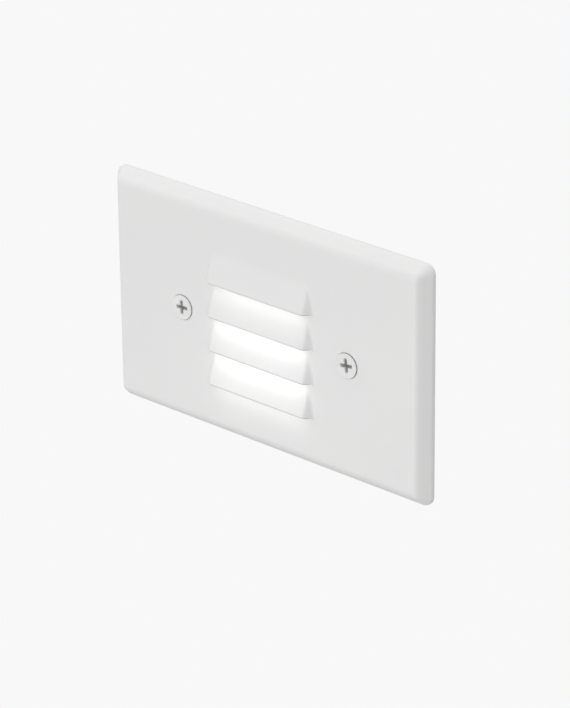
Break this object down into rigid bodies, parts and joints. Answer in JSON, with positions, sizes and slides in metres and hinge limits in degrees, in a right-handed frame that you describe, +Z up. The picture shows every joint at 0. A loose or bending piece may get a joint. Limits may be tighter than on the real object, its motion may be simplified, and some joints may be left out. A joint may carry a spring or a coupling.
{
  "type": "step light",
  "caption": "Recessed wall step light: a bevelled white louvered cover, held by flat-head screws, over a sealed LED module on a one-gang mounting yoke.",
  "frame": {"origin": "the middle of the wall plane behind the cover, midway between the box screws", "axes": "+X to the right seen from the front, +Z up, +Y into the wall; the cover faces -Y"},
  "size_m": [0.1142, 0.043, 0.0698],
  "materials": {
    "white_paint": "semi-gloss white powder coat",
    "screw_paint": "white enamel on steel",
    "zinc_steel": "bright zinc plate",
    "nylon": "natural nylon",
    "red_fibre": "vulcanised fibre",
    "black_foam": "closed-cell foam",
    "green_screw": "green ground-screw coating",
    "housing_plastic": "moulded polycarbonate, fine texture",
    "opal_lens": "opal polycarbonate, lit from behind",
    "bezel_plastic": "white moulded plastic",
    "clear_silicone": "silicone",
    "bushing_rubber": "black rubber",
    "reflector_white": "high-reflectance white",
    "board_white": "white solder mask",
    "diode_phosphor": "phosphor under silicone",
    "thermal_pad": "soft silicone pad",
    "heat_sink": "mill finish",
    "fish_paper": "grey insulating paper",
    "board_green": "green solder mask",
    "fuse_sleeve": "lacquered ceramic",
    "varistor_blue": "dipped epoxy",
    "film_box": "moulded box",
    "can_sleeve": "shrink sleeve",
    "chip_black": "moulded epoxy",
    "ferrite": "sintered ferrite",
    "coil_tape": "polyester tape over copper",
    "connector_white": "natural nylon",
    "lead_insulation": "coloured lead insulation"
  },
  "bodies": {
    "light_module": {"bezel_screws": "zinc_steel", "board_connector": "connector_white", "box_screw_washers": "red_fibre", "box_screws": "zinc_steel", "bridge_rectifier": "chip_black", "bulk_capacitor": "can_sleeve", "chip_resistors": "chip_black", "diffuser_lens": "opal_lens", "driver_board": "board_green", "driver_board_screws": "zinc_steel", "driver_chip": "chip_black", "fuse_resistor": "fuse_sleeve", "ground_screw": "green_screw", "heat_sink_plate": "heat_sink", "heat_sink_screws": "zinc_steel", "housing_body": "housing_plastic", "input_capacitor": "film_box", "insulating_sheet": "fish_paper", "lead_bushing": "bushing_rubber", "lead_plug": "connector_white", "led_board": "board_white", "led_board_screws": "zinc_steel", "led_leads": "lead_insulation", "led_packages": "diode_phosphor", "lens_bezel": "bezel_plastic", "lens_gasket": "clear_silicone", "line_choke": "can_sleeve", "mounting_yoke": "zinc_steel", "output_capacitor": "can_sleeve", "output_diode": "chip_black", "rear_cover": "housing_plastic", "rear_cover_screws": "zinc_steel", "reflector_tray": "reflector_white", "thermal_pad": "thermal_pad", "transformer_bobbin": "chip_black", "transformer_core": "ferrite", "transformer_winding": "coil_tape", "varistor": "varistor_blue"},
    "cover": {"cover_plate": "white_paint", "light_seal": "black_foam", "rim_gasket": "black_foam"},
    "left_retainer": {"left_screw_retainer": "nylon"},
    "left_screw": {"left_cover_screw": "screw_paint"},
    "right_retainer": {"right_screw_retainer": "nylon"},
    "right_screw": {"right_cover_screw": "screw_paint"}
  },
  "joints": [
    {"name": "cover_lift", "type": "slide", "parent": "light_module", "child": "cover", "axis": [0, -1, 0], "range_m": [0, 0.03]},
    {"name": "left_screw_travel", "type": "slide", "parent": "cover", "child": "left_retainer", "axis": [0, -1, 0], "range_m": [0, 0.00317]},
    {"name": "left_screw_turn", "type": "hinge", "parent": "left_retainer", "child": "left_screw", "pos_m": [-0.03016, 0, 0], "axis": [0, -1, 0], "range_deg": [0, 1440]},
    {"name": "right_screw_travel", "type": "slide", "parent": "cover", "child": "right_retainer", "axis": [0, -1, 0], "range_m": [0, 0.00317]},
    {"name": "right_screw_turn", "type": "hinge", "parent": "right_retainer", "child": "right_screw", "pos_m": [0.03016, 0, 0], "axis": [0, -1, 0], "range_deg": [0, 1440]}
  ],
  "couplings": [
    {"joint": "left_screw_turn", "follows": "left_screw_travel", "rad_per_m": 7915.8},
    {"joint": "right_screw_turn", "follows": "right_screw_travel", "rad_per_m": 7915.8}
  ]
}
